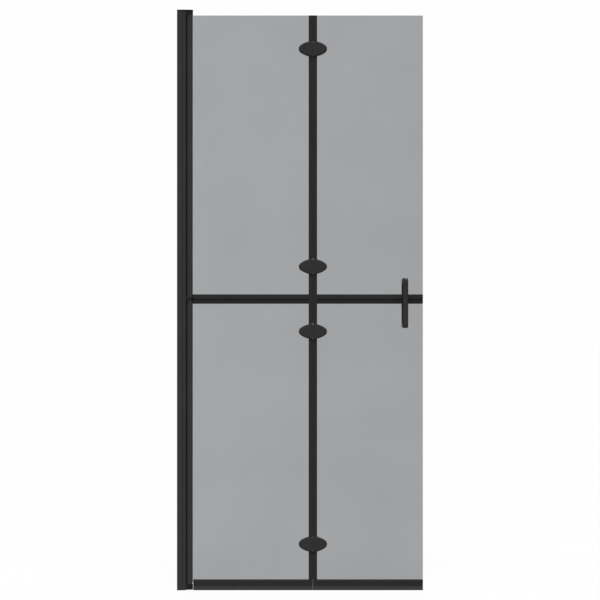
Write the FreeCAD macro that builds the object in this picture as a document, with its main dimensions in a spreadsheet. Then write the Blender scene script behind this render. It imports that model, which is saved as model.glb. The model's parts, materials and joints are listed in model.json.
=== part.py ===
import FreeCAD, Part
import math
import os
import Sketcher

# A two-leaf glass shower screen. X runs from the wall to the free glass edge, Y = 0 is the middle
# of the glass with the room side at negative Y, and Z = 0 is the foot of the drip seal.

doc = FreeCAD.newDocument("shower_screen")
sheet = doc.addObject("Spreadsheet::Sheet", "Sizes")
sheet_names = []
nodes = []
NEAR = 1e-4


class Size:
    """A number together with the sheet formula it comes from."""

    def __init__(self, value, formula):
        self.value = value
        self.formula = formula

    def __add__(self, other):
        other = as_size(other)
        return Size(self.value + other.value, "(%s + %s)" % (self.formula, other.formula))

    def __sub__(self, other):
        other = as_size(other)
        return Size(self.value - other.value, "(%s - %s)" % (self.formula, other.formula))

    def __mul__(self, other):
        other = as_size(other)
        return Size(self.value * other.value, "(%s * %s)" % (self.formula, other.formula))

    def __truediv__(self, other):
        other = as_size(other)
        return Size(self.value / other.value, "(%s / %s)" % (self.formula, other.formula))

    def __neg__(self):
        return self * -1


def as_size(amount):
    """Give a plain number the same form as a size from the sheet."""
    if isinstance(amount, Size):
        return amount
    return Size(float(amount), "(%s)" % amount)


ZERO = as_size(0)


def root(amount):
    """Square root of a size."""
    return Size(math.sqrt(amount.value), "sqrt(%s)" % amount.formula)


def size(name, value, meaning):
    """Add one driving size to the sheet."""
    sheet_names.append(name)
    row = len(sheet_names)
    sheet.set("A%d" % row, meaning)
    sheet.set("B%d" % row, str(value))
    sheet.setAlias("B%d" % row, name)
    return Size(float(value), "Sizes." + name)


# Overall sizes
screen_width = size("screen_width", 805, "wall face to free glass edge")
screen_height = size("screen_height", 1900, "foot of the drip seal to top of the cap")
mid_line = size("mid_line", 953, "height of the joint between the two halves")
glass_thickness = size("glass_thickness", 5, "glass thickness")
glass_top_drop = size("glass_top_drop", 17.9, "top of the screen down to the glass")
overcut = size("overcut", 1, "extra length of a drilled hole beyond the material")

# Wall channel and jamb
channel_depth = size("channel_depth", 17.5, "wall face to room edge of the channel")
channel_width = size("channel_width", 24, "channel width across the glass")
channel_wall = size("channel_wall", 1.8, "channel wall thickness")
edge_break = size("edge_break", 0.6, "small chamfer on profile edges")
wall_hole_radius = size("wall_hole_radius", 3, "wall screw hole radius")
wall_hole_inset = size("wall_hole_inset", 150, "wall screw hole from the end of its channel")
jamb_face = size("jamb_face", 29, "wall face to room face of the jamb")
jamb_clearance = size("jamb_clearance", 0.3, "jamb to channel on each side")
jamb_depth = size("jamb_depth", 21, "jamb depth along the screen")
jamb_wall = size("jamb_wall", 1.8, "jamb flange thickness")
jamb_web = size("jamb_web", 3, "jamb face thickness")
seal_slot_width = size("seal_slot_width", 3, "jamb seal slot width")
seal_slot_depth = size("seal_slot_depth", 1.5, "jamb seal slot depth")
seal_reach = size("seal_reach", 0.96, "jamb seal standing out of its slot")
jamb_screw_setback = size("jamb_screw_setback", 6, "jamb screw from the channel edge")
jamb_screw_inset = size("jamb_screw_inset", 90, "outer jamb screws from the profile ends")
jamb_screw_radius = size("jamb_screw_radius", 1.8, "jamb screw radius")
jamb_screw_head = size("jamb_screw_head", 3.6, "jamb screw head radius")
jamb_screw_head_depth = size("jamb_screw_head_depth", 2.2, "jamb screw head thickness")
jamb_screw_tip = size("jamb_screw_tip", 2, "jamb screw beyond the jamb flange")
jamb_stagger = size("jamb_stagger", 8, "jamb joint above the middle pivot block")
joiner_thickness = size("joiner_thickness", 3, "splice plate thickness")
joiner_width = size("joiner_width", 15, "splice plate width")
joiner_length = size("joiner_length", 120, "splice plate length")
joiner_screw_inset = size("joiner_screw_inset", 20, "splice screw from the plate end")
joiner_screw_radius = size("joiner_screw_radius", 1.6, "splice screw radius")
joiner_screw_head = size("joiner_screw_head", 3, "splice screw head radius")
joiner_screw_head_depth = size("joiner_screw_head_depth", 1.6, "splice screw head thickness")
joiner_screw_cover = size("joiner_screw_cover", 0.5, "splice screw tip behind the wall face")
cap_thickness = size("cap_thickness", 2.5, "top cap thickness")
cap_plug_depth = size("cap_plug_depth", 10, "top cap plug depth inside the jamb")
cap_plug_length = size("cap_plug_length", 10, "top cap plug length along the screen")

# Stile, pivot blocks, bushes and pins
stile_radius = size("stile_radius", 9, "bullnose radius about the pivot")
stile_gap = size("stile_gap", 1, "bullnose to jamb face")
stile_wall = size("stile_wall", 1.8, "stile wall thickness")
stile_flat = size("stile_flat", 2.8, "pivot axis to flat side of the stile hollow")
pocket_depth = size("pocket_depth", 6.1, "glass pocket depth in the stile")
gasket_side = size("gasket_side", 1.7, "glazing gasket beside the glass")
gasket_base = size("gasket_base", 1.5, "glazing gasket under the glass edge")
stile_lip = size("stile_lip", 1, "gasket lip beyond the stile")
rail_lip = size("rail_lip", 3, "gasket lip beyond a rail")
lip_cover = size("lip_cover", 1.2, "gasket lip over the rail edge")
lip_edge = size("lip_edge", 1, "gasket lip thickness at its edge")
block_gap = size("block_gap", 0.05, "pivot block to stile end")
block_lead = size("block_lead", 1, "top and bottom block beyond the stile")
mid_block_relief = size("mid_block_relief", 0.1, "middle block to the transom end")
top_block_height = size("top_block_height", 14.7, "top pivot block height")
mid_block_height = size("mid_block_height", 12, "middle pivot block height")
bottom_block_height = size("bottom_block_height", 18.5, "bottom pivot block height")
block_foot = size("block_foot", 1.5, "bottom pivot block above the foot")
block_screw_spread = size("block_screw_spread", 5.2, "pivot block screw from the glass plane")
block_screw_radius = size("block_screw_radius", 1.6, "pivot block screw radius")
block_screw_head = size("block_screw_head", 2.6, "pivot block screw head radius")
block_screw_head_depth = size("block_screw_head_depth", 2, "pivot block screw head thickness")
block_screw_grip = size("block_screw_grip", 4.5, "pivot block screw length in the block")
mid_screw_offset = size("mid_screw_offset", 3, "middle block screw from the joint")
pin_radius = size("pin_radius", 2, "pivot pin radius")
pin_clearance = size("pin_clearance", 0.05, "running fit of a pin in its bush")
pin_reach = size("pin_reach", 5, "pivot pin length inside the block")
bush_wall = size("bush_wall", 1.5, "bush wall thickness")
bush_depth = size("bush_depth", 8, "bush depth in the top and bottom block")
plug_length = size("plug_length", 25, "stile end plug length")

# Transom rails and bottom rail
rail_wall = size("rail_wall", 2.8, "rail flange thickness")
upper_transom_height = size("upper_transom_height", 12.6, "height of the upper transom rail")
lower_transom_height = size("lower_transom_height", 9.9, "height of the lower transom rail")
transom_drop = size("transom_drop", 1.3, "transom joint below the middle line")
transom_flare = size("transom_flare", 1, "transom wider at the joint than at its edge")
transom_joint = size("transom_joint", 2.4, "recessed joint between the transom rails")
transom_rib = size("transom_rib", 3, "half width of the rib in the joint")
transom_web = size("transom_web", 2.5, "transom web thickness")
transom_head_room = size("transom_head_room", 3, "screw head space under the glass edge")
transom_screw_radius = size("transom_screw_radius", 2, "transom screw radius")
transom_screw_head = size("transom_screw_head", 3.4, "transom screw head radius")
transom_screw_head_depth = size("transom_screw_head_depth", 1.8, "transom screw head thickness")
transom_screw_inset = size("transom_screw_inset", 50, "transom screw from the rail end")
rail_height = size("rail_height", 31, "top of the bottom rail above the foot")
rail_web_level = size("rail_web_level", 22.5, "top of the bottom rail web")
rail_web = size("rail_web", 2, "bottom rail web thickness")
rail_foot = size("rail_foot", 13.6, "underside of the bottom rail")
rail_end_gap = size("rail_end_gap", 1.25, "bottom block to bottom rail end")
end_cap = size("end_cap", 5, "length of a rail end cap")
drip_flare = size("drip_flare", 2.5, "drip seal lip beyond the rail face")
drip_lip = size("drip_lip", 3.8, "height of the drip seal lip")
drip_bend = size("drip_bend", 8.6, "height where the drip seal flares out")
drip_bend_flare = size("drip_bend_flare", 0.6, "flare of the drip seal at its bend")
drip_tuck = size("drip_tuck", 1, "lip turned under at the foot")
drip_skin = size("drip_skin", 2, "drip seal lip thickness")

# Fold, its seals and the oval hinges
fold_line = size("fold_line", 444.6, "wall face to the fold line")
fold_depth = size("fold_depth", 12.5, "hinge pin behind the glass plane")
fold_clearance = size("fold_clearance", 0.15, "each leaf to the fold line")
glass_edge_gap = size("glass_edge_gap", 4, "glass edge to the fold line")
fold_seal_width = size("fold_seal_width", 13.8, "fold seal from the fold line")
fold_seal_arm = size("fold_seal_arm", 2.2, "fold seal arm thickness on the glass")
fold_seal_bulb = size("fold_seal_bulb", 0.8, "bulb standing beyond the arm")
fold_seal_lap = size("fold_seal_lap", 1.2, "bulb past the glass edge")
fold_seal_edge = size("fold_seal_edge", 0.4, "broken edge where the fold seals meet")
seal_tongue = size("seal_tongue", 1.5, "tongue of the outer fold seal")
seal_tongue_half = size("seal_tongue_half", 1.2, "half thickness of the tongue")
seal_tongue_play = size("seal_tongue_play", 0.25, "groove around the tongue")
hinge_length = size("hinge_length", 92.4, "oval hinge length across both leaves")
hinge_height = size("hinge_height", 50, "oval hinge height")
hinge_end_radius = size("hinge_end_radius", 14, "radius of the oval ends")
hinge_plate = size("hinge_plate", 8, "hinge plate thickness")
hinge_bevel = size("hinge_bevel", 4, "bevel round the plate edge")
hinge_split = size("hinge_split", 0.3, "chamfer where the plates meet at the fold")
hinge_pad = size("hinge_pad", 1, "gasket between plate and glass")
hinge_pad_inset = size("hinge_pad_inset", 1, "gasket inside the plate outline")
hinge_pad_setback = size("hinge_pad_setback", 5, "gasket from the fold line")
hinge_seal_gap = size("hinge_seal_gap", 0.1, "fold seal to hinge outline")
seal_relief = size("seal_relief", 0.45, "fold seal cut back above the hinge at the fold line")
seal_relief_half = size("seal_relief_half", 3.2, "half width of that cut")
hinge_top_drop = size("hinge_top_drop", 109.3, "glass top to the highest hinge")
hinge_mid_offset = size("hinge_mid_offset", 106.3, "joint to the hinges above and below it")
hinge_foot_height = size("hinge_foot_height", 150, "height of the lowest hinge")
knuckle_radius = size("knuckle_radius", 5, "hinge knuckle radius")
knuckle_half = size("knuckle_half", 6.7, "half length of the centre knuckle")
knuckle_end = size("knuckle_end", 20, "hinge centre to the end of the knuckles")
knuckle_gap = size("knuckle_gap", 0.4, "gap between knuckles")
hinge_pin_radius = size("hinge_pin_radius", 3, "hinge pin radius")
hinge_screw_reach = size("hinge_screw_reach", 22, "hinge screw from the fold line")
hinge_screw_spread = size("hinge_screw_spread", 11, "hinge screw from the hinge centre")
hinge_screw_radius = size("hinge_screw_radius", 2.5, "hinge screw radius")
hinge_screw_head = size("hinge_screw_head", 4.8, "hinge screw head radius")
hinge_screw_cone = size("hinge_screw_cone", 2.3, "hinge screw head depth")
hinge_screw_cover = size("hinge_screw_cover", 2.5, "material left in front of the screw tip")
socket_radius = size("socket_radius", 1.7, "hexagon socket corner radius")
socket_depth = size("socket_depth", 1.6, "hexagon socket depth")
glass_hole_clearance = size("glass_hole_clearance", 1.5, "glass hole around a screw")

# Handles
handle_setback = size("handle_setback", 58.8, "free glass edge to the handle middle")
handle_drop = size("handle_drop", 13, "handle middle below the joint")
handle_height = size("handle_height", 163.4, "handle height")
handle_width = size("handle_width", 18, "handle width")
handle_depth = size("handle_depth", 38, "handle depth from its foot")
handle_leg = size("handle_leg", 16, "handle leg height")
handle_bar = size("handle_bar", 11, "handle bar thickness")
handle_corner = size("handle_corner", 14, "outer corner radius of the handle")
handle_throat = size("handle_throat", 7, "inner corner radius of the handle")
handle_round = size("handle_round", 4.5, "rounding along the handle edges")
handle_stud_radius = size("handle_stud_radius", 3, "handle stud radius")
handle_stud_grip = size("handle_stud_grip", 14, "stud length inside each handle")
handle_washer = size("handle_washer", 1, "washer between handle and glass")
handle_washer_radius = size("handle_washer_radius", 7, "handle washer radius")

# Levels and positions shared by several pieces
half_channel = channel_width / 2
half_jamb = half_channel - channel_wall - jamb_clearance
jamb_left = jamb_face - jamb_depth
channel_top = screen_height - cap_thickness
pivot_x = jamb_face + stile_gap + stile_radius
stile_reach = stile_flat + stile_wall + pocket_depth
lip_reach = stile_reach + stile_lip
stile_edge = pivot_x + lip_reach
block_reach = lip_reach + block_lead
mid_block_reach = lip_reach - mid_block_relief
half_glass = glass_thickness / 2
half_pocket = half_glass + gasket_side
half_rail = half_pocket + rail_wall
bottom_block_top = block_foot + bottom_block_height
mid_block_foot = mid_line - mid_block_height / 2
mid_block_top = mid_line + mid_block_height / 2
jamb_joint = mid_block_top + jamb_stagger
top_block_foot = channel_top - top_block_height
lower_stile_foot = bottom_block_top + block_gap
lower_stile_top = mid_block_foot - block_gap
upper_stile_foot = mid_block_top + block_gap
upper_stile_top = top_block_foot - block_gap
transom_line = mid_line - transom_drop
upper_transom_foot = transom_line + transom_joint / 2
lower_transom_top = transom_line - transom_joint / 2
lower_seat = transom_web + gasket_base
upper_seat = lower_seat + transom_head_room
glass_top = screen_height - glass_top_drop
upper_glass_foot = upper_transom_foot + upper_seat
lower_glass_top = lower_transom_top - lower_seat
lower_glass_foot = rail_web_level + gasket_base
inner_glass_left = pivot_x + stile_reach - pocket_depth + gasket_base
inner_glass_right = fold_line - glass_edge_gap
outer_glass_left = fold_line + glass_edge_gap
bush_radius = pin_radius + pin_clearance + bush_wall
plate_near = half_glass + hinge_pad
plate_far = plate_near + hinge_plate
hinge_levels = [
    glass_top - hinge_top_drop,
    mid_line + hinge_mid_offset,
    mid_line - hinge_mid_offset,
    hinge_foot_height,
]
handle_x = screen_width - handle_setback
handle_z = mid_line - handle_drop
handle_foot = half_glass + handle_washer
handle_stud_offset = handle_height / 2 - handle_leg / 2
handle_stud_levels = [handle_z + handle_stud_offset, handle_z - handle_stud_offset]


def bind(item, path, amount):
    """Drive one property of an object from the sheet."""
    item.setExpression(path, amount.formula)


def place(item, x, y, z):
    """Put an object at a position given by sizes."""
    bind(item, "Placement.Base.x", x)
    bind(item, "Placement.Base.y", y)
    bind(item, "Placement.Base.z", z)
    return item


def name_node(item, label):
    """Give a finished piece its own name and keep it for the files."""
    item.Label = label
    nodes.append(item)
    return item


class Drawing:
    """A sketch on an origin plane of a body, with every corner held by sizes."""

    def __init__(self, body, role):
        self.sketch = body.newObject("Sketcher::SketchObject", "outline")
        planes = [item for item in body.Origin.OriginFeatures if item.Role == role]
        self.sketch.AttachmentSupport = [(planes[0], "")]
        self.sketch.MapMode = "FlatFace"
        self.rules = []
        self.formulas = []

    def hold(self, kind, axis, geometry, point, amount):
        """Hold one coordinate of a point, or keep the point on the axis where it is zero."""
        if amount is ZERO:
            self.rules.append(Sketcher.Constraint("PointOnObject", geometry, point, axis))
            return
        self.formulas.append((len(self.rules), amount.formula))
        self.rules.append(Sketcher.Constraint(kind, -1, 1, geometry, point, amount.value))

    def hold_across(self, geometry, point, amount):
        self.hold("DistanceX", -2, geometry, point, amount)

    def hold_up(self, geometry, point, amount):
        self.hold("DistanceY", -1, geometry, point, amount)

    def line(self, start, finish):
        """Add a straight side and tell which of its points is the start."""
        first = FreeCAD.Vector(start[0].value, start[1].value, 0)
        last = FreeCAD.Vector(finish[0].value, finish[1].value, 0)
        return self.sketch.addGeometry(Part.LineSegment(first, last), False), 1, 2

    def arc(self, start, finish):
        """Add a round side about the centre named by its start corner."""
        centre_u, centre_v, turn = start[2]
        centre = FreeCAD.Vector(centre_u.value, centre_v.value, 0)
        first = FreeCAD.Vector(start[0].value, start[1].value, 0) - centre
        last = FreeCAD.Vector(finish[0].value, finish[1].value, 0) - centre
        if turn < 0:
            first, last = last, first
        circle = Part.Circle(centre, FreeCAD.Vector(0, 0, 1), first.Length)
        side = Part.ArcOfCircle(circle, math.atan2(first.y, first.x), math.atan2(last.y, last.x))
        number = self.sketch.addGeometry(side, False)
        chord = last - first
        if abs(chord.y) > abs(chord.x):
            self.hold_across(number, 3, centre_u)
        else:
            self.hold_up(number, 3, centre_v)
        if turn < 0:
            return number, 2, 1
        return number, 1, 2

    def loop(self, corners):
        """Draw one closed outline; a corner with a third entry starts a round side."""
        sides = []
        for number, start in enumerate(corners):
            finish = corners[(number + 1) % len(corners)]
            draw = self.arc if len(start) == 3 else self.line
            sides.append(draw(start, finish))
        for number, corner in enumerate(corners):
            before = sides[number - 1]
            after = sides[number]
            self.rules.append(Sketcher.Constraint("Coincident", before[0], before[2], after[0], after[1]))
            self.hold_across(after[0], after[1], corner[0])
            self.hold_up(after[0], after[1], corner[1])

    def circle(self, u, v, radius):
        """Draw a round hole."""
        centre = FreeCAD.Vector(u.value, v.value, 0)
        circle = Part.Circle(centre, FreeCAD.Vector(0, 0, 1), radius.value)
        number = self.sketch.addGeometry(circle, False)
        self.hold_across(number, 3, u)
        self.hold_up(number, 3, v)
        self.formulas.append((len(self.rules), radius.formula))
        self.rules.append(Sketcher.Constraint("Radius", number, radius.value))

    def close(self):
        self.sketch.addConstraint(self.rules)
        for number, formula in self.formulas:
            self.sketch.setExpression("Constraints[%d]" % number, formula)
        return self.sketch


def padded(role, loops, circles, depth):
    """A body made by padding outlines drawn on one origin plane."""
    body = doc.addObject("PartDesign::Body", "body")
    drawing = Drawing(body, role)
    for corners in loops:
        drawing.loop(corners)
    for u, v, radius in circles:
        drawing.circle(u, v, radius)
    pad = body.newObject("PartDesign::Pad", "pad")
    pad.Profile = drawing.close()
    bind(pad, "Length", depth)
    body.Tip = pad
    return body


def upright(loops, foot, top, x=ZERO, circles=()):
    """A profile seen from above, padded upwards."""
    return place(padded("XY_Plane", loops, circles, top - foot), x, ZERO, foot)


def bar(loops, left, right, z=ZERO):
    """A profile seen from the wall, padded along the screen."""
    return place(padded("YZ_Plane", loops, (), right - left), left, ZERO, z)


def plate(loops, front, rear, x=ZERO, z=ZERO, circles=()):
    """An outline seen from the room, padded through its thickness."""
    return place(padded("XZ_Plane", loops, circles, rear - front), x, rear, z)


def mirrored(half):
    """Close a profile that is the same on both sides of the glass plane, drawn seen from the wall."""
    other = [(-u, v) for u, v in reversed(half)]
    return half + other


ALONG = {
    "x": FreeCAD.Rotation(FreeCAD.Vector(0, 1, 0), 90),
    "y": FreeCAD.Rotation(FreeCAD.Vector(1, 0, 0), -90),
    "z": FreeCAD.Rotation(),
}


def rod(axis, radius, length, x, y, z):
    """A round bar that starts at a point and runs along an axis."""
    item = doc.addObject("Part::Cylinder", "rod")
    item.Placement = FreeCAD.Placement(FreeCAD.Vector(), ALONG[axis])
    bind(item, "Radius", radius)
    bind(item, "Height", length)
    return place(item, x, y, z)


def cone(axis, start_radius, end_radius, length, x, y, z):
    """A tapered bar that starts at a point and runs along an axis."""
    item = doc.addObject("Part::Cone", "cone")
    item.Placement = FreeCAD.Placement(FreeCAD.Vector(), ALONG[axis])
    bind(item, "Radius1", start_radius)
    bind(item, "Radius2", end_radius)
    bind(item, "Height", length)
    return place(item, x, y, z)


def socket(axis, x, y, z):
    """A hexagon socket for a screw key."""
    item = doc.addObject("Part::Prism", "socket")
    item.Placement = FreeCAD.Placement(FreeCAD.Vector(), ALONG[axis])
    item.Polygon = 6
    bind(item, "Circumradius", socket_radius)
    bind(item, "Height", socket_depth)
    return place(item, x, y, z)


def joined(items):
    """Several solids made into one."""
    if len(items) == 1:
        return items[0]
    item = doc.addObject("Part::MultiFuse", "joined")
    item.Shapes = items
    return item


def cut(base, tools):
    """A solid with others taken out of it."""
    item = doc.addObject("Part::Cut", "cut")
    item.Base = base
    item.Tool = joined(tools)
    return item


def group(items):
    """Separate solids that share one name."""
    item = doc.addObject("Part::Compound", "group")
    item.Links = items
    return item


# Wall channel and jamb, each in a lower and an upper length
column_lengths = [
    ("lower", ZERO, mid_line, ZERO, jamb_joint),
    ("upper", mid_line, channel_top, jamb_joint, channel_top),
]
channel_outline = [
    (ZERO, -half_channel),
    (channel_depth - edge_break, -half_channel),
    (channel_depth, edge_break - half_channel),
    (channel_depth, channel_wall - half_channel),
    (channel_wall, channel_wall - half_channel),
    (channel_wall, half_channel - channel_wall),
    (channel_depth, half_channel - channel_wall),
    (channel_depth, half_channel - edge_break),
    (channel_depth - edge_break, half_channel),
    (ZERO, half_channel),
]
jamb_slot = seal_slot_width / 2
slot_floor = jamb_face - seal_slot_depth
jamb_outline = [
    (jamb_left, -half_jamb),
    (jamb_face - edge_break, -half_jamb),
    (jamb_face, edge_break - half_jamb),
    (jamb_face, -jamb_slot),
    (slot_floor, -jamb_slot),
    (slot_floor, jamb_slot),
    (jamb_face, jamb_slot),
    (jamb_face, half_jamb - edge_break),
    (jamb_face - edge_break, half_jamb),
    (jamb_left, half_jamb),
    (jamb_left, half_jamb - jamb_wall),
    (jamb_face - jamb_web, half_jamb - jamb_wall),
    (jamb_face - jamb_web, jamb_wall - half_jamb),
    (jamb_left, jamb_wall - half_jamb),
]
jamb_screw_x = channel_depth - jamb_screw_setback
jamb_screw_start = half_jamb - jamb_wall - jamb_screw_tip
joiner_levels = {
    "lower": mid_line - joiner_length / 2 + joiner_screw_inset,
    "upper": mid_line + joiner_length / 2 - joiner_screw_inset,
}
bottom_screw_level = block_foot + bottom_block_height / 2
mid_screw_levels = [mid_line - mid_screw_offset, mid_line + mid_screw_offset]
top_screw_level = top_block_foot + top_block_height / 2
block_screw_levels = {
    "lower": [bottom_screw_level, *mid_screw_levels],
    "upper": [top_screw_level],
}


def jamb_screw_levels(foot, top):
    """Heights of the three side screws of one column length."""
    return [foot + jamb_screw_inset, (foot + top) / 2, top - jamb_screw_inset]


def jamb_shank(z):
    length = half_channel - jamb_screw_start
    return rod("y", jamb_screw_radius, length, jamb_screw_x, jamb_screw_start, z)


def joiner_shank(z):
    length = channel_wall + joiner_thickness - joiner_screw_cover
    return rod("x", joiner_screw_radius, length, joiner_screw_cover, ZERO, z)


def block_shank(y, z):
    length = jamb_web + block_screw_grip
    return rod("x", block_screw_radius, length, jamb_face - jamb_web, y, z)


column_screws = []
for half, foot, top, jamb_low, jamb_high in column_lengths:
    levels = jamb_screw_levels(foot, top)
    holes = [jamb_shank(z) for z in levels]
    holes.append(joiner_shank(joiner_levels[half]))
    for z in [foot + wall_hole_inset, top - wall_hole_inset]:
        hole_length = channel_wall + overcut * 2
        holes.append(rod("x", wall_hole_radius, hole_length, -overcut, ZERO, z))
    channel = upright([channel_outline], foot, top)
    name_node(cut(channel, holes), "wall_channel_" + half)

    holes = [jamb_shank(z) for z in levels]
    for z in block_screw_levels[half]:
        holes.append(block_shank(block_screw_spread, z))
        holes.append(block_shank(-block_screw_spread, z))
    jamb = upright([jamb_outline], jamb_low, jamb_high)
    name_node(cut(jamb, holes), "pivot_jamb_" + half)

    for z in levels:
        head = rod("y", jamb_screw_head, jamb_screw_head_depth, jamb_screw_x, half_channel, z)
        column_screws.append(joined([jamb_shank(z), head]))
    z = joiner_levels[half]
    head_x = channel_wall + joiner_thickness
    head = rod("x", joiner_screw_head, joiner_screw_head_depth, head_x, ZERO, z)
    column_screws.append(joined([joiner_shank(z), head]))
    for z in block_screw_levels[half]:
        for y in [block_screw_spread, -block_screw_spread]:
            head_x = jamb_face - jamb_web - block_screw_head_depth
            head = rod("x", block_screw_head, block_screw_head_depth, head_x, y, z)
            column_screws.append(joined([block_shank(y, z), head]))
name_node(group(column_screws), "column_screws")

half_joiner = joiner_width / 2
joiner_outline = [
    (channel_wall, -half_joiner),
    (channel_wall + joiner_thickness, -half_joiner),
    (channel_wall + joiner_thickness, half_joiner),
    (channel_wall, half_joiner),
]
joiner = upright([joiner_outline], mid_line - joiner_length / 2, mid_line + joiner_length / 2)
joiner_holes = [joiner_shank(joiner_levels["lower"]), joiner_shank(joiner_levels["upper"])]
name_node(cut(joiner, joiner_holes), "channel_joiner")

seal_tip = jamb_face + seal_reach
jamb_seal_outline = [
    (slot_floor, -jamb_slot),
    (jamb_face, -jamb_slot),
    (seal_tip, -jamb_slot / 2),
    (seal_tip, jamb_slot / 2),
    (jamb_face, jamb_slot),
    (slot_floor, jamb_slot),
]
jamb_seals = [
    upright([jamb_seal_outline], lower_stile_foot, lower_stile_top),
    upright([jamb_seal_outline], upper_stile_foot, upper_stile_top),
]
name_node(group(jamb_seals), "jamb_seals")

cap_outline = [
    (ZERO, -half_channel),
    (jamb_face, -half_channel),
    (pivot_x + block_reach, -stile_radius),
    (pivot_x + block_reach, stile_radius),
    (jamb_face, half_channel),
    (ZERO, half_channel),
]
plug_half = half_jamb - jamb_wall
cap_plug_outline = [
    (jamb_left, -plug_half),
    (jamb_left + cap_plug_length, -plug_half),
    (jamb_left + cap_plug_length, plug_half),
    (jamb_left, plug_half),
]
cap_plate = upright([cap_outline], channel_top, screen_height)
cap_plug = upright([cap_plug_outline], channel_top - cap_plug_depth, channel_top)
name_node(joined([cap_plate, cap_plug]), "top_cap")

# Pivot blocks on the jamb, with bushes for the pins
def block_outline(reach):
    """A block seen from above, with its free end round about the pivot axis."""
    left = jamb_face - pivot_x
    corner = root(reach * reach - stile_radius * stile_radius)
    return [
        (left, -stile_radius),
        (corner, -stile_radius, (ZERO, ZERO, 1)),
        (corner, stile_radius),
        (left, stile_radius),
    ]


def pivot_block(label, reach, foot, top, bore_foot, bore_top, screw_levels):
    """A block with a bore for its bush and holes for the screws from the jamb."""
    tools = [rod("z", bush_radius, bore_top - bore_foot, pivot_x, ZERO, bore_foot)]
    for z in screw_levels:
        tools.append(block_shank(block_screw_spread, z))
        tools.append(block_shank(-block_screw_spread, z))
    name_node(cut(upright([block_outline(reach)], foot, top, pivot_x), tools), label)


def bush(foot, top):
    """A plain bush that fills the bore of its block."""
    outside = rod("z", bush_radius, top - foot, pivot_x, ZERO, foot)
    bore_length = top - foot + overcut * 2
    inside = rod("z", pin_radius + pin_clearance, bore_length, pivot_x, ZERO, foot - overcut)
    return cut(outside, [inside])


bottom_bush_foot = bottom_block_top - bush_depth
top_bush_top = top_block_foot + bush_depth
pivot_block(
    "bottom_pivot_block", block_reach, block_foot, bottom_block_top,
    bottom_bush_foot, bottom_block_top, [bottom_screw_level],
)
pivot_block(
    "mid_pivot_block", mid_block_reach, mid_block_foot, mid_block_top,
    mid_block_foot, mid_block_top, mid_screw_levels,
)
pivot_block(
    "top_pivot_block", block_reach, top_block_foot, channel_top,
    top_block_foot, top_bush_top, [top_screw_level],
)
bushes = [
    bush(bottom_bush_foot, bottom_block_top),
    bush(mid_block_foot, mid_block_top),
    bush(top_block_foot, top_bush_top),
]
name_node(group(bushes), "pivot_bushes")

# Bullnose stile that turns on the pivot axis and holds the inner glass
hollow_radius = stile_radius - stile_wall
pocket_floor = stile_reach - pocket_depth
stile_outline = [
    (ZERO, stile_radius, (ZERO, ZERO, 1)),
    (ZERO, -stile_radius),
    (stile_reach - edge_break, -stile_radius),
    (stile_reach, edge_break - stile_radius),
    (stile_reach, -half_pocket),
    (pocket_floor, -half_pocket),
    (pocket_floor, half_pocket),
    (stile_reach, half_pocket),
    (stile_reach, stile_radius - edge_break),
    (stile_reach - edge_break, stile_radius),
]
hollow_outline = [
    (ZERO, hollow_radius, (ZERO, ZERO, 1)),
    (ZERO, -hollow_radius),
    (stile_flat, -hollow_radius),
    (stile_flat, hollow_radius),
]
stile_gasket_half = [
    (pocket_floor, half_pocket),
    (stile_reach, half_pocket),
    (stile_reach, half_pocket + lip_cover),
    (lip_reach, half_glass + lip_edge),
    (lip_reach, half_glass),
    (pocket_floor + gasket_base, half_glass),
]
stile_gasket_outline = stile_gasket_half + [(u, -v) for u, v in reversed(stile_gasket_half)]
stile_lengths = [
    ("lower", lower_stile_foot, lower_stile_top, lower_glass_foot, lower_glass_top),
    ("upper", upper_stile_foot, upper_stile_top, upper_glass_foot, glass_top),
]
pin_length = plug_length + block_gap + pin_reach
inner_gaskets = []
plugs = []
pins = []
for half, foot, top, glass_low, glass_high in stile_lengths:
    stile = upright([stile_outline, hollow_outline], foot, top, pivot_x)
    name_node(stile, "inner_stile_" + half)
    inner_gaskets.append(upright([stile_gasket_outline], glass_low, glass_high, pivot_x))
    pin_hole = [(ZERO, ZERO, pin_radius)]
    plugs.append(upright([hollow_outline], foot, foot + plug_length, pivot_x, pin_hole))
    plugs.append(upright([hollow_outline], top - plug_length, top, pivot_x, pin_hole))
    pins.append(rod("z", pin_radius, pin_length, pivot_x, ZERO, foot - block_gap - pin_reach))
    pins.append(rod("z", pin_radius, pin_length, pivot_x, ZERO, top - plug_length))
name_node(group(plugs), "stile_end_plugs")
name_node(group(pins), "pivot_pins")

# Transom rails above and below the joint, bottom rails, their gaskets and drip seals
half_transom = half_rail + transom_flare
upper_transom_outline = mirrored([
    (half_transom, ZERO),
    (half_rail, upper_transom_height),
    (half_pocket, upper_transom_height),
    (half_pocket, transom_web),
])
lower_transom_outline = mirrored([
    (half_pocket, -transom_web),
    (half_pocket, -lower_transom_height),
    (half_rail, -lower_transom_height),
    (half_transom, ZERO),
    (transom_rib, ZERO),
    (transom_rib, transom_joint),
])
upper_lip = upper_transom_height + rail_lip
lower_lip = lower_transom_height + rail_lip
upper_gasket_outline = mirrored([
    (half_pocket, upper_seat - gasket_base),
    (half_pocket, upper_transom_height),
    (half_pocket + lip_cover, upper_transom_height),
    (half_glass + lip_edge, upper_lip),
    (half_glass, upper_lip),
    (half_glass, upper_seat),
])
lower_gasket_outline = mirrored([
    (half_glass, -lower_seat),
    (half_glass, -lower_lip),
    (half_glass + lip_edge, -lower_lip),
    (half_pocket + lip_cover, -lower_transom_height),
    (half_pocket, -lower_transom_height),
    (half_pocket, -transom_web),
])
upper_cap_outline = mirrored([
    (half_transom, ZERO),
    (half_rail, upper_transom_height),
    (half_pocket + lip_cover, upper_transom_height),
    (half_glass + lip_edge, upper_lip),
    (half_glass, upper_lip),
    (half_glass, upper_seat),
])
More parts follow.
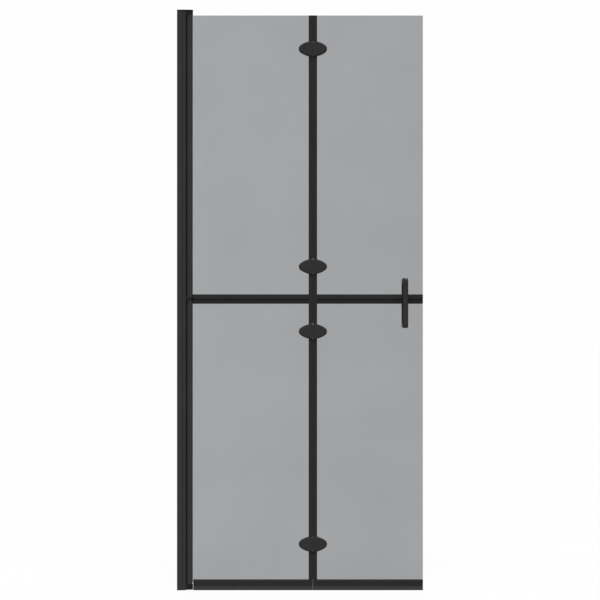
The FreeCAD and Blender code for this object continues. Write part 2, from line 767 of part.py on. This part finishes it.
lower_cap_outline = mirrored([
    (half_glass, -lower_seat),
    (half_glass, -lower_lip),
    (half_glass + lip_edge, -lower_lip),
    (half_pocket + lip_cover, -lower_transom_height),
    (half_rail, -lower_transom_height),
    (half_transom, ZERO),
    (transom_rib, ZERO),
    (transom_rib, transom_joint),
])
rail_outline = mirrored([
    (half_pocket, rail_web_level - rail_web),
    (half_pocket, rail_foot),
    (half_rail, rail_foot),
    (half_rail, rail_height),
    (half_pocket, rail_height),
    (half_pocket, rail_web_level),
])
rail_gasket_outline = mirrored([
    (half_pocket, rail_web_level),
    (half_pocket, rail_height),
    (half_pocket + lip_cover, rail_height),
    (half_glass + lip_edge, rail_height + rail_lip),
    (half_glass, rail_height + rail_lip),
    (half_glass, rail_web_level + gasket_base),
])
rail_cap_outline = mirrored([
    (half_pocket, rail_web_level - rail_web),
    (half_pocket, rail_foot),
    (half_rail, rail_foot),
    (half_rail, rail_height),
    (half_pocket + lip_cover, rail_height),
    (half_glass + lip_edge, rail_height + rail_lip),
    (half_glass, rail_height + rail_lip),
    (half_glass, rail_web_level + gasket_base),
])
half_drip = half_rail + drip_flare
drip_outline = mirrored([
    (half_pocket - drip_skin, rail_foot - drip_skin),
    (half_drip - drip_tuck - drip_skin, ZERO),
    (half_drip - drip_tuck, ZERO),
    (half_drip, drip_lip),
    (half_rail + drip_bend_flare, drip_bend),
    (half_rail, rail_foot),
    (half_pocket, rail_foot),
    (half_pocket, rail_web_level - rail_web),
])


def transom_shank(x):
    foot = lower_transom_top - transom_web
    return rod("z", transom_screw_radius, upper_transom_foot + transom_web - foot, x, ZERO, foot)


def transom_screws(places):
    """Screws that hold the two transom rails together, their heads under the glass edge."""
    screws = []
    for x in places:
        head_foot = upper_transom_foot + transom_web
        head = rod("z", transom_screw_head, transom_screw_head_depth, x, ZERO, head_foot)
        screws.append(joined([transom_shank(x), head]))
    return screws


def rails(leaf, transom_span, rail_span, screw_places):
    """Rails and drip seal of one leaf; gives back the gaskets of its rails."""
    transom_left, transom_right = transom_span
    rail_left, rail_right = rail_span
    upper = bar([upper_transom_outline], transom_left, transom_right, upper_transom_foot)
    lower = bar([lower_transom_outline], transom_left, transom_right, lower_transom_top)
    name_node(cut(upper, [transom_shank(x) for x in screw_places]), leaf + "_transom_upper")
    name_node(cut(lower, [transom_shank(x) for x in screw_places]), leaf + "_transom_lower")
    name_node(bar([rail_outline], rail_left, rail_right), leaf + "_bottom_rail")
    return [
        bar([upper_gasket_outline], transom_left, transom_right, upper_transom_foot),
        bar([lower_gasket_outline], transom_left, transom_right, lower_transom_top),
        bar([rail_gasket_outline], rail_left, rail_right),
    ]


def end_caps(label, transom_start, rail_start):
    """Caps on the ends of the two transom rails and the bottom rail of one leaf."""
    caps = [
        bar([upper_cap_outline], transom_start, transom_start + end_cap, upper_transom_foot),
        bar([lower_cap_outline], transom_start, transom_start + end_cap, lower_transom_top),
        bar([rail_cap_outline], rail_start, rail_start + end_cap),
    ]
    name_node(group(caps), label)


def spaced(left, right):
    """Three screw places along a rail."""
    return [left + transom_screw_inset, (left + right) / 2, right - transom_screw_inset]


inner_rail_left = pivot_x + block_reach + rail_end_gap
inner_rail_right = fold_line - fold_clearance
outer_rail_left = fold_line + fold_clearance
cap_left = screen_width - end_cap
inner_transom = (stile_edge + end_cap, fold_line - fold_seal_width)
outer_transom = (fold_line + fold_seal_width, cap_left)
inner_transom_places = spaced(inner_transom[0], inner_transom[1])
outer_transom_places = spaced(outer_transom[0], outer_transom[1])
inner_rail = (inner_rail_left + end_cap, inner_rail_right)
outer_rail = (outer_rail_left, cap_left)
inner_gaskets += rails("inner", inner_transom, inner_rail, inner_transom_places)
outer_gaskets = rails("outer", outer_transom, outer_rail, outer_transom_places)
end_caps("inner_end_caps", stile_edge, inner_rail_left)
end_caps("outer_end_caps", cap_left, cap_left)
name_node(bar([drip_outline], inner_rail_left, inner_rail_right), "inner_drip_seal")
name_node(bar([drip_outline], outer_rail_left, screen_width), "outer_drip_seal")
name_node(group(inner_gaskets), "inner_glazing_gaskets")
name_node(group(outer_gaskets), "outer_glazing_gaskets")

# Glass panes with holes for the hinge screws and the handle studs
hinge_hole = hinge_screw_radius + glass_hole_clearance
handle_hole = handle_stud_radius + glass_hole_clearance


def pane(label, left, right, foot, top, holes):
    corners = [(left, foot), (right, foot), (right, top), (left, top)]
    name_node(plate([corners], -half_glass, half_glass, circles=holes), label)


def hinge_holes(side, levels):
    """Two holes for each hinge on one side of the fold line."""
    x = fold_line + hinge_screw_reach * side
    holes = []
    for z in levels:
        holes.append((x, z + hinge_screw_spread, hinge_hole))
        holes.append((x, z - hinge_screw_spread, hinge_hole))
    return holes


upper_hinges = hinge_levels[:2]
lower_hinges = hinge_levels[2:]
pane(
    "inner_glass_upper", inner_glass_left, inner_glass_right, upper_glass_foot, glass_top,
    hinge_holes(-1, upper_hinges),
)
pane(
    "inner_glass_lower", inner_glass_left, inner_glass_right, lower_glass_foot, lower_glass_top,
    hinge_holes(-1, lower_hinges),
)
pane(
    "outer_glass_upper", outer_glass_left, screen_width, upper_glass_foot, glass_top,
    hinge_holes(1, upper_hinges) + [(handle_x, handle_stud_levels[0], handle_hole)],
)
pane(
    "outer_glass_lower", outer_glass_left, screen_width, lower_glass_foot, lower_glass_top,
    hinge_holes(1, lower_hinges) + [(handle_x, handle_stud_levels[1], handle_hole)],
)


# Seal strips on the two glass edges at the fold, tongue in groove, left out behind the hinges
def half_oval(side, straight_edge, margin):
    """Half of the four-arc oval of a hinge, on one side of the fold line."""
    end_radius = hinge_end_radius + margin
    half_height = hinge_height / 2 + margin
    end_centre = hinge_length / 2 - hinge_end_radius
    squares = end_centre * end_centre + half_height * half_height - end_radius * end_radius
    side_radius = squares / ((half_height - end_radius) * 2)
    drop = side_radius - half_height
    touch_u = end_centre * side_radius / (side_radius - end_radius)
    touch_v = drop * end_radius / (side_radius - end_radius)
    edge_v = root(side_radius * side_radius - straight_edge * straight_edge) - drop
    return [
        (straight_edge * side, -edge_v, (ZERO, drop, side)),
        (touch_u * side, -touch_v, (end_centre * side, ZERO, side)),
        (touch_u * side, touch_v, (ZERO, -drop, side)),
        (straight_edge * side, edge_v),
    ]


def box(left, right, front, rear, foot, top):
    """A plain block between six levels."""
    item = doc.addObject("Part::Box", "box")
    bind(item, "Length", right - left)
    bind(item, "Width", rear - front)
    bind(item, "Height", top - foot)
    return place(item, left, front, foot)


half_arm = half_glass + fold_seal_arm
half_bulb = half_arm + fold_seal_bulb
bulb_end = glass_edge_gap + fold_seal_lap
seal_half = [
    (fold_clearance, half_bulb - fold_seal_edge),
    (fold_clearance + fold_seal_edge, half_bulb),
    (bulb_end, half_bulb),
    (bulb_end + fold_seal_bulb, half_arm),
    (fold_seal_width, half_arm),
    (fold_seal_width, half_glass),
    (glass_edge_gap, half_glass),
]
seal_outline = seal_half + [(u, -v) for u, v in reversed(seal_half)]
tongue_tip = fold_clearance - seal_tongue
groove_half = seal_tongue_half + seal_tongue_play
groove_floor = seal_tongue_play - tongue_tip
seal_meeting = {
    "inner": [
        (fold_clearance, -groove_half),
        (groove_floor, -groove_half),
        (groove_floor, groove_half),
        (fold_clearance, groove_half),
    ],
    "outer": [
        (fold_clearance, -seal_tongue_half),
        (tongue_tip, -seal_tongue_half / 2),
        (tongue_tip, seal_tongue_half / 2),
        (fold_clearance, seal_tongue_half),
    ],
}
relief_reach = hinge_height / 2 + seal_relief
for leaf, side in [("inner", -1), ("outer", 1)]:
    corners = [(u * side, v) for u, v in seal_outline + seal_meeting[leaf]]
    strip = upright([corners], rail_height + rail_lip, glass_top, fold_line)
    spaces = []
    for z in hinge_levels:
        oval = half_oval(side, -seal_tongue, hinge_seal_gap)
        spaces.append(plate([oval], -plate_far, plate_far, fold_line, z))
        left = fold_line - seal_relief_half
        right = fold_line + seal_relief_half
        spaces.append(box(left, right, -plate_far, plate_far, z, z + relief_reach))
    name_node(cut(strip, spaces), leaf + "_fold_seal")


# Oval hinges: a clamped pair of plates on each leaf, knuckles and pin behind the glass
def dress(body, kind, path, chosen, amount):
    """Round or chamfer the edges of a body that pass a test."""
    doc.recompute()
    before = body.Tip
    names = []
    for number, edge in enumerate(before.Shape.Edges, 1):
        if chosen(edge):
            names.append("Edge%d" % number)
    feature = body.newObject(kind, "dressed_edge")
    feature.Base = (before, names)
    bind(feature, path, amount)
    body.Tip = feature


def hinge_plate_body(side, front, rear, z, outer_face):
    """A half-oval plate with its outer edge bevelled."""
    body = plate([half_oval(side, fold_clearance, ZERO)], front, rear, fold_line, z)
    level = 0 if outer_face == "rear" else -hinge_plate.value

    def on_outer_face(edge):
        return all(abs(vertex.Y - level) < NEAR for vertex in edge.Vertexes)

    def on_outer_arc(edge):
        return on_outer_face(edge) and isinstance(edge.Curve, Part.Circle)

    def on_split(edge):
        return on_outer_face(edge) and isinstance(edge.Curve, Part.Line)

    dress(body, "PartDesign::Chamfer", "Size", on_outer_arc, hinge_bevel)
    dress(body, "PartDesign::Chamfer", "Size", on_split, hinge_split)
    return body


def hinge_screw_spots(side, z):
    x = fold_line + hinge_screw_reach * side
    return [(x, z + hinge_screw_spread), (x, z - hinge_screw_spread)]


screw_tip = hinge_screw_cover - plate_far


def hinge_shank(x, z):
    return rod("y", hinge_screw_radius, plate_far - screw_tip, x, screw_tip, z)


def hinge_head(x, z):
    start = plate_far - hinge_screw_cone
    return cone("y", hinge_screw_radius, hinge_screw_head, hinge_screw_cone, x, start, z)


def knuckle(radius, foot, top):
    return rod("z", radius, top - foot, fold_line, fold_depth, foot)


def knuckle_spans(leaf, z, gap):
    """Foot and top of the knuckles of one leaf, made longer by a gap at both ends."""
    if leaf == "outer":
        return [(z - knuckle_half - gap, z + knuckle_half + gap)]
    near = knuckle_half + knuckle_gap - gap
    far = knuckle_end + gap
    return [(z + near, z + far), (z - far, z - near)]


hinge_pads = {"inner": [], "outer": []}
leaf_screws = {
    "inner": transom_screws(inner_transom_places),
    "outer": transom_screws(outer_transom_places),
}
hinge_pins = []
for number, z in enumerate(hinge_levels, 1):
    for leaf, other, side in [("inner", "outer", -1), ("outer", "inner", 1)]:
        label = "hinge_%d_%s" % (number, leaf)
        spots = hinge_screw_spots(side, z)
        front = hinge_plate_body(side, -plate_far, -plate_near, z, "front")
        name_node(cut(front, [hinge_shank(x, level) for x, level in spots]), label + "_front_plate")

        rear = hinge_plate_body(side, plate_near, plate_far, z, "rear")
        spaces = []
        for foot, top in knuckle_spans(other, z, knuckle_gap):
            spaces.append(knuckle(knuckle_radius + knuckle_gap, foot, top))
        rear = cut(rear, spaces)
        barrels = [knuckle(knuckle_radius, foot, top) for foot, top in knuckle_spans(leaf, z, ZERO)]
        rear = joined([rear] + barrels)
        bore = hinge_pin_radius
        if leaf == "outer":
            bore = hinge_pin_radius + pin_clearance
        holes = [knuckle(bore, z - knuckle_end - overcut, z + knuckle_end + overcut)]
        for x, level in spots:
            holes.append(joined([hinge_shank(x, level), hinge_head(x, level)]))
        name_node(cut(rear, holes), label + "_rear_plate")

        for x, level in spots:
            key = socket("y", x, plate_far - socket_depth, level)
            whole = joined([hinge_shank(x, level), hinge_head(x, level)])
            leaf_screws[leaf].append(cut(whole, [key]))
        pad_outline = half_oval(side, hinge_pad_setback, -hinge_pad_inset)
        pad_holes = [(hinge_screw_reach * side, hinge_screw_spread, hinge_screw_radius)]
        pad_holes.append((hinge_screw_reach * side, -hinge_screw_spread, hinge_screw_radius))
        for near, far in [(-plate_near, -half_glass), (half_glass, plate_near)]:
            hinge_pads[leaf].append(plate([pad_outline], near, far, fold_line, z, pad_holes))
    hinge_pins.append(knuckle(hinge_pin_radius, z - knuckle_end, z + knuckle_end))
for leaf in ["inner", "outer"]:
    name_node(group(hinge_pads[leaf]), leaf + "_hinge_gaskets")
    name_node(group(leaf_screws[leaf]), leaf + "_leaf_screws")
name_node(group(hinge_pins), "hinge_pins")


# A bow handle on each side of the outer leaf, bridging the transom
def handle_outline(side):
    """The bow seen from the wall, with its feet towards the glass."""
    reach = handle_foot + handle_depth
    half = handle_height / 2
    turn_u = reach - handle_corner
    turn_v = half - handle_corner
    inner_reach = reach - handle_bar
    inner_half = half - handle_leg
    throat_u = inner_reach - handle_throat
    throat_v = inner_half - handle_throat
    return [
        (handle_foot * side, -half),
        (turn_u * side, -half, (turn_u * side, -turn_v, side)),
        (reach * side, -turn_v),
        (reach * side, turn_v, (turn_u * side, turn_v, side)),
        (turn_u * side, half),
        (handle_foot * side, half),
        (handle_foot * side, inner_half),
        (throat_u * side, inner_half, (throat_u * side, throat_v, -side)),
        (inner_reach * side, throat_v),
        (inner_reach * side, -throat_v, (throat_u * side, -throat_v, -side)),
        (throat_u * side, -inner_half),
        (handle_foot * side, -inner_half),
    ]


def on_handle_edge(edge):
    """The long outer edges of the bow, on either side of it."""
    low = handle_height.value / 2 - handle_corner.value - NEAR
    outer = all(abs(vertex.Z) > low for vertex in edge.Vertexes)
    beside = [vertex.X for vertex in edge.Vertexes]
    flat = max(beside) - min(beside) < NEAR
    return outer and flat


def handle_stud(z):
    reach = handle_foot + handle_stud_grip
    return rod("y", handle_stud_radius, reach * 2, handle_x, -reach, z)


for label, side in [("front_handle", -1), ("rear_handle", 1)]:
    left = handle_x - handle_width / 2
    bow = bar([handle_outline(side)], left, left + handle_width, handle_z)
    dress(bow, "PartDesign::Fillet", "Radius", on_handle_edge, handle_round)
    name_node(cut(bow, [handle_stud(z) for z in handle_stud_levels]), label)
name_node(group([handle_stud(z) for z in handle_stud_levels]), "handle_studs")
washers = []
for z in handle_stud_levels:
    for start in [-handle_foot, half_glass]:
        disc = rod("y", handle_washer_radius, handle_washer, handle_x, start, z)
        washers.append(cut(disc, [handle_stud(z)]))
name_node(group(washers), "handle_washers")

# Check every object, then write one file for each piece
doc.recompute()
for item in doc.Objects:
    if "Invalid" in item.State or "Error" in item.State:
        raise RuntimeError("not built: " + item.Label)
os.makedirs("parts", exist_ok=True)
for node in nodes:
    if node.Shape.isNull() or not node.Shape.isValid():
        raise RuntimeError("bad shape: " + node.Label)
    node.Shape.exportStep("parts/" + node.Label + ".step")
    print(node.Label, len(node.Shape.Solids), round(node.Shape.Volume))
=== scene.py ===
"""Looks, light and camera for the folding shower screen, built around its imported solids."""

import json
import math

import bpy
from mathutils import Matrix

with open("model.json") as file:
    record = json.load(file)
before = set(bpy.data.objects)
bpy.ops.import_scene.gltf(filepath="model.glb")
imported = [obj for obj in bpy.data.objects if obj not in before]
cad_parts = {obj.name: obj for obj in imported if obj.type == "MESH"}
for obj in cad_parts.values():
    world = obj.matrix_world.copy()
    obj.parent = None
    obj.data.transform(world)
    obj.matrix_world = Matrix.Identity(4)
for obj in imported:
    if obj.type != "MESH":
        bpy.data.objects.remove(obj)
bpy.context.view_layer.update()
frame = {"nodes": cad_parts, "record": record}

# Camera: eye level with the middle of the screen and square to it, in metres, its sensor in millimetres
CAMERA_AIM_X = 0.40245
CAMERA_AIM_Z = 0.9499
CAMERA_DISTANCE = 6.0
CAMERA_REACH = 200.0
FIELD_WIDTH = 1.9668
SENSOR_WIDTH = 36.0

# Floor, in metres, and its glow
FLOOR_DROP = 0.0005
FLOOR_HALF_SIDE = 40.0
FLOOR_GLOW = 0.93

# World light by direction: from below, from above, and its loss towards the sides
BACKDROP = 0.99
LIGHT_BELOW = 0.68
LIGHT_ABOVE = 0.34
LIGHT_RAMP_HALF = 0.8
SIDE_LOSS = 0.6

# Soft panel behind the camera, which the panes mirror: light at the left and top, dark at the other end
PANEL_LIGHT = 0.35
PANEL_HALF = 0.09
PANEL_SLANT = 0.25
PANEL_FULL_Y = -0.97
PANEL_END_Y = -0.93

# Lamps, with their angles in degrees
KEY_POWER = 4.0
BACK_POWER = 2.0
LAMP_ELEVATION = 62.0
LAMP_SOFTNESS = 22.0

# The values between which most of a noise pattern lies
PATTERN_LOW = 0.3
PATTERN_HIGH = 0.7

# How patterns are stretched along X, Y and Z: a small number draws them out
EVEN = (1.0, 1.0, 1.0)
LEVEL_STRIP = (0.02, 1.0, 1.0)
UPRIGHT_STRIP = (1.0, 1.0, 0.02)
GLASS_WAVES = (0.6, 1.0, 1.0)
LEVEL_BRUSHING = (1.0, 1.0, 30.0)

# Strength of mirror light on satin and on matt surfaces
SATIN = 0.3
MATT = 0.2


# Node helpers

def add_node(tree, kind, inputs=None, **settings):
    """One node of a material, with its settings and the values on its inputs."""
    node = tree.nodes.new(kind)
    for name, value in settings.items():
        setattr(node, name, value)
    for name, value in (inputs or {}).items():
        node.inputs[name].default_value = value
    return node


def new_material(name):
    """A material, its node tree and the principled shader in it."""
    material = bpy.data.materials.new(name)
    material.use_nodes = True
    tree = material.node_tree
    return material, tree, tree.nodes["Principled BSDF"]


def object_point(tree, stretch=EVEN):
    """The point on the piece in metres, stretched along its axes, so that patterns ride with it."""
    place = add_node(tree, "ShaderNodeTexCoord")
    scaled = add_node(tree, "ShaderNodeMapping", {"Scale": stretch})
    tree.links.new(place.outputs["Object"], scaled.inputs["Vector"])
    return scaled.outputs["Vector"]


def noise(tree, point, per_metre, detail):
    """Soft irregular pattern with so many features to the metre."""
    node = add_node(tree, "ShaderNodeTexNoise", {"Scale": per_metre, "Detail": detail})
    tree.links.new(point, node.inputs["Vector"])
    return node.outputs["Fac"]


def ranged(tree, source, low, high, start=PATTERN_LOW, end=PATTERN_HIGH):
    """Maps a pattern from start..end to low..high."""
    node = add_node(
        tree,
        "ShaderNodeMapRange",
        {"From Min": start, "From Max": end, "To Min": low, "To Max": high},
    )
    tree.links.new(source, node.inputs["Value"])
    return node.outputs["Result"]


def combined(tree, operation, first, second):
    """One step of arithmetic on node outputs or plain numbers."""
    node = add_node(tree, "ShaderNodeMath", operation=operation)
    for socket, source in zip(node.inputs, (first, second)):
        if isinstance(source, (int, float)):
            socket.default_value = source
        else:
            tree.links.new(source, socket)
    return node.outputs["Value"]


def averaged(tree, first, second):
    """The mean of two patterns."""
    return combined(tree, "MULTIPLY", combined(tree, "ADD", first, second), 0.5)


def shaded(tree, source, dark, light):
    """Colour that goes from dark to light with a pattern."""
    ramp = add_node(tree, "ShaderNodeValToRGB")
    low, high = ramp.color_ramp.elements
    low.position = PATTERN_LOW
    low.color = (*dark, 1.0)
    high.position = PATTERN_HIGH
    high.color = (*light, 1.0)
    tree.links.new(source, ramp.inputs["Fac"])
    return ramp.outputs["Color"]


def grey(level):
    """A colour without hue."""
    return (level, level, level)


def bumped(tree, height, strength, depth, below=None):
    """Relief of a given depth in metres, laid over the relief below it."""
    node = add_node(tree, "ShaderNodeBump", {"Strength": strength, "Distance": depth})
    tree.links.new(height, node.inputs["Height"])
    if below is not None:
        tree.links.new(below, node.inputs["Normal"])
    return node.outputs["Normal"]


# Finishes

def powder_coat(name, dark, light, gloss, peel_per_metre, grain_per_metre):
    """Satin coating on metal: fine grain over orange-peel relief, with patches more and less matt."""
    material, tree, shader = new_material(name)
    point = object_point(tree)
    patches = noise(tree, point, per_metre=14.0, detail=4.0)
    peel = noise(tree, point, peel_per_metre, detail=2.0)
    grain = noise(tree, point, grain_per_metre, detail=1.0)
    mottle = averaged(tree, patches, grain)
    tree.links.new(shaded(tree, mottle, dark, light), shader.inputs["Base Color"])
    tree.links.new(ranged(tree, patches, *gloss), shader.inputs["Roughness"])
    relief = bumped(tree, peel, strength=0.6, depth=0.00012)
    relief = bumped(tree, grain, strength=0.5, depth=0.00003, below=relief)
    tree.links.new(relief, shader.inputs["Normal"])
    shader.inputs["Specular IOR Level"].default_value = SATIN
    return material


def tinted_glass(name, dark, light):
    """Clear blue-grey glass with faint clouds in its tint and the slow waves of a toughened pane."""
    material, tree, shader = new_material(name)
    point = object_point(tree)
    clouds = noise(tree, point, per_metre=4.0, detail=3.0)
    tree.links.new(shaded(tree, clouds, dark, light), shader.inputs["Base Color"])
    film = noise(tree, point, per_metre=30.0, detail=3.0)
    tree.links.new(ranged(tree, film, low=0.0, high=0.02), shader.inputs["Roughness"])
    waves = noise(tree, object_point(tree, GLASS_WAVES), per_metre=5.0, detail=0.0)
    tree.links.new(bumped(tree, waves, strength=0.1, depth=0.0005), shader.inputs["Normal"])
    shader.inputs["Transmission Weight"].default_value = 1.0
    shader.inputs["IOR"].default_value = 1.5
    return material


def rubber(name, dark, light, along):
    """Soft black seal: dull, with a fine skin and extrusion lines along it."""
    material, tree, shader = new_material(name)
    point = object_point(tree)
    patches = noise(tree, point, per_metre=40.0, detail=3.0)
    lines = noise(tree, object_point(tree, along), per_metre=700.0, detail=2.0)
    skin = noise(tree, point, per_metre=1500.0, detail=2.0)
    streaks = averaged(tree, patches, lines)
    tree.links.new(shaded(tree, streaks, dark, light), shader.inputs["Base Color"])
    tree.links.new(ranged(tree, patches, low=0.55, high=0.75), shader.inputs["Roughness"])
    relief = bumped(tree, lines, strength=0.4, depth=0.0001)
    relief = bumped(tree, skin, strength=0.3, depth=0.00005, below=relief)
    tree.links.new(relief, shader.inputs["Normal"])
    shader.inputs["Specular IOR Level"].default_value = SATIN
    return material


def moulded_plastic(name, dark, light, sheen):
    """Black plastic with a fine eroded grain from its mould."""
    material, tree, shader = new_material(name)
    point = object_point(tree)
    patches = noise(tree, point, per_metre=60.0, detail=2.0)
    tree.links.new(shaded(tree, patches, dark, light), shader.inputs["Base Color"])
    tree.links.new(ranged(tree, patches, low=0.5, high=0.65), shader.inputs["Roughness"])
    pits = add_node(tree, "ShaderNodeTexVoronoi", {"Scale": 1600.0})
    tree.links.new(point, pits.inputs["Vector"])
    relief = bumped(tree, pits.outputs["Distance"], strength=0.6, depth=0.00008)
    tree.links.new(relief, shader.inputs["Normal"])
    shader.inputs["Specular IOR Level"].default_value = sheen
    return material


def brushed_steel(name, dark, light):
    """Stainless steel with fine level brushing lines."""
    material, tree, shader = new_material(name)
    lines = noise(tree, object_point(tree, LEVEL_BRUSHING), per_metre=120.0, detail=3.0)
    tree.links.new(shaded(tree, lines, dark, light), shader.inputs["Base Color"])
    tree.links.new(ranged(tree, lines, low=0.25, high=0.42), shader.inputs["Roughness"])
    tree.links.new(bumped(tree, lines, strength=0.15, depth=0.00003), shader.inputs["Normal"])
    shader.inputs["Metallic"].default_value = 1.0
    return material


finishes = {
    "frame_black": powder_coat(
        "frame_black",
        grey(0.019),
        grey(0.029),
        gloss=(0.40, 0.52),
        peel_per_metre=500.0,
        grain_per_metre=2000.0,
    ),
    # This darker copy of the frame coat puts painted shade on the upper transom rail and the bottom
    # rail
    "rail_black_painted_shade": powder_coat(
        "rail_black_painted_shade",
        grey(0.010),
        grey(0.018),
        gloss=(0.42, 0.54),
        peel_per_metre=500.0,
        grain_per_metre=2000.0,
    ),
    "fitting_black": powder_coat(
        "fitting_black",
        grey(0.016),
        grey(0.026),
        gloss=(0.36, 0.46),
        peel_per_metre=800.0,
        grain_per_metre=3200.0,
    ),
    "glass": tinted_glass("glass", (0.350, 0.356, 0.365), (0.370, 0.376, 0.385)),
    "seal": rubber("seal", grey(0.014), grey(0.022), UPRIGHT_STRIP),
    # This lighter copy of the seal rubber is a painted highlight on the drip seal's flared lip
    "drip_seal": rubber("drip_seal", grey(0.024), grey(0.034), LEVEL_STRIP),
    "block_plastic": moulded_plastic("block_plastic", grey(0.009), grey(0.012), MATT),
    # Plastic darker than the rail coat, which puts painted shade on the lower transom rail
    "rail_plastic_painted_shade": moulded_plastic("rail_plastic_painted_shade", grey(0.011), grey(0.014), SATIN),
    "steel": brushed_steel("steel", (0.50, 0.50, 0.49), (0.62, 0.62, 0.61)),
}

# Pieces of a leaf whose finish differs from the slot in the record: darker copies as painted shade on
# the rails, a lighter copy as painted highlight on the drip seal
leaf_painted_light_finishes = {
    "transom_upper": "rail_black_painted_shade",
    "transom_lower": "rail_plastic_painted_shade",
    "bottom_rail": "rail_black_painted_shade",
    "drip_seal": "drip_seal",
}
node_painted_light_finishes = {
    leaf + "_" + piece: finish
    for leaf in ("inner", "outer")
    for piece, finish in leaf_painted_light_finishes.items()
}
for subpart in frame["record"]["subparts"]:
    node = frame["nodes"][subpart["node"]]
    finish = node_painted_light_finishes.get(subpart["node"], subpart["material_slot"])
    node.data.materials.clear()
    node.data.materials.append(finishes[finish])


# Floor, light and camera

def pale_floor():
    """A wide white floor that glows as a light table does, with a trace of shadow."""
    side = FLOOR_HALF_SIDE
    corners = [(-side, -side), (side, -side), (side, side), (-side, side)]
    mesh = bpy.data.meshes.new("floor")
    mesh.from_pydata([(x, y, -FLOOR_DROP) for x, y in corners], [], [(0, 1, 2, 3)])
    floor = bpy.data.objects.new("floor", mesh)
    bpy.context.scene.collection.objects.link(floor)
    floor.visible_diffuse = False
    floor.visible_glossy = False
    material, tree, shader = new_material("floor_paint")
    patches = noise(tree, object_point(tree), per_metre=1.5, detail=3.0)
    tree.links.new(shaded(tree, patches, grey(0.03), grey(0.035)), shader.inputs["Base Color"])
    shader.inputs["Roughness"].default_value = 0.9
    shader.inputs["Specular IOR Level"].default_value = 0.0
    shader.inputs["Emission Color"].default_value = (*grey(1.0), 1.0)
    shader.inputs["Emission Strength"].default_value = FLOOR_GLOW
    mesh.materials.append(material)


def light_by_direction(tree):
    """Strength of the world's light: most from below, little from the sides, and a panel in front."""
    direction = add_node(tree, "ShaderNodeTexCoord")
    axes = add_node(tree, "ShaderNodeSeparateXYZ")
    tree.links.new(direction.outputs["Generated"], axes.inputs["Vector"])
    x, y, z = axes.outputs
    ramp = ranged(tree, z, LIGHT_BELOW, LIGHT_ABOVE, start=-LIGHT_RAMP_HALF, end=LIGHT_RAMP_HALF)
    loss = combined(tree, "MULTIPLY", combined(tree, "MULTIPLY", x, x), SIDE_LOSS)
    light = combined(tree, "MULTIPLY", ramp, combined(tree, "SUBTRACT", 1.0, loss))
    slant = combined(tree, "SUBTRACT", x, combined(tree, "MULTIPLY", z, PANEL_SLANT))
    panel = ranged(tree, slant, PANEL_LIGHT, -PANEL_LIGHT, start=-PANEL_HALF, end=PANEL_HALF)
    in_front = ranged(tree, y, 1.0, 0.0, start=PANEL_FULL_Y, end=PANEL_END_Y)
    return combined(tree, "ADD", light, combined(tree, "MULTIPLY", panel, in_front))


def studio_world():
    """White backdrop to the eye, also through the glass, and a soft uneven light on the screen."""
    world = bpy.data.worlds.new("studio")
    world.use_nodes = True
    tree = world.node_tree
    path = add_node(tree, "ShaderNodeLightPath")
    seen = combined(
        tree, "MAXIMUM", path.outputs["Is Camera Ray"], path.outputs["Is Transmission Ray"]
    )
    backdrop = combined(tree, "MULTIPLY", seen, BACKDROP)
    strength = combined(tree, "MAXIMUM", light_by_direction(tree), backdrop)
    background = tree.nodes["Background"]
    background.inputs["Color"].default_value = (*grey(1.0), 1.0)
    tree.links.new(strength, background.inputs["Strength"])
    bpy.context.scene.world = world


def soft_lamp(name, power, azimuth):
    """Broad even light from far off and above, with no highlight of its own; azimuth 0 is the front."""
    data = bpy.data.lights.new(name, "SUN")
    data.energy = power
    data.angle = math.radians(LAMP_SOFTNESS)
    lamp = bpy.data.objects.new(name, data)
    lamp.rotation_euler = (math.radians(90.0 - LAMP_ELEVATION), 0.0, math.radians(azimuth))
    lamp.visible_glossy = False
    bpy.context.scene.collection.objects.link(lamp)


def front_camera():
    """Camera square to the screen, with the picture as wide as the field at the screen's plane."""
    data = bpy.data.cameras.new("camera")
    data.sensor_width = SENSOR_WIDTH
    data.lens = SENSOR_WIDTH * CAMERA_DISTANCE / FIELD_WIDTH
    data.clip_end = CAMERA_REACH
    camera = bpy.data.objects.new("camera", data)
    camera.location = (CAMERA_AIM_X, -CAMERA_DISTANCE, CAMERA_AIM_Z)
    camera.rotation_euler = (math.radians(90.0), 0.0, 0.0)
    bpy.context.scene.collection.objects.link(camera)
    bpy.context.scene.camera = camera


pale_floor()
studio_world()
soft_lamp("key_light", KEY_POWER, azimuth=0.0)
soft_lamp("back_light", BACK_POWER, azimuth=180.0)
front_camera()
bpy.context.scene.view_settings.view_transform = "Standard"
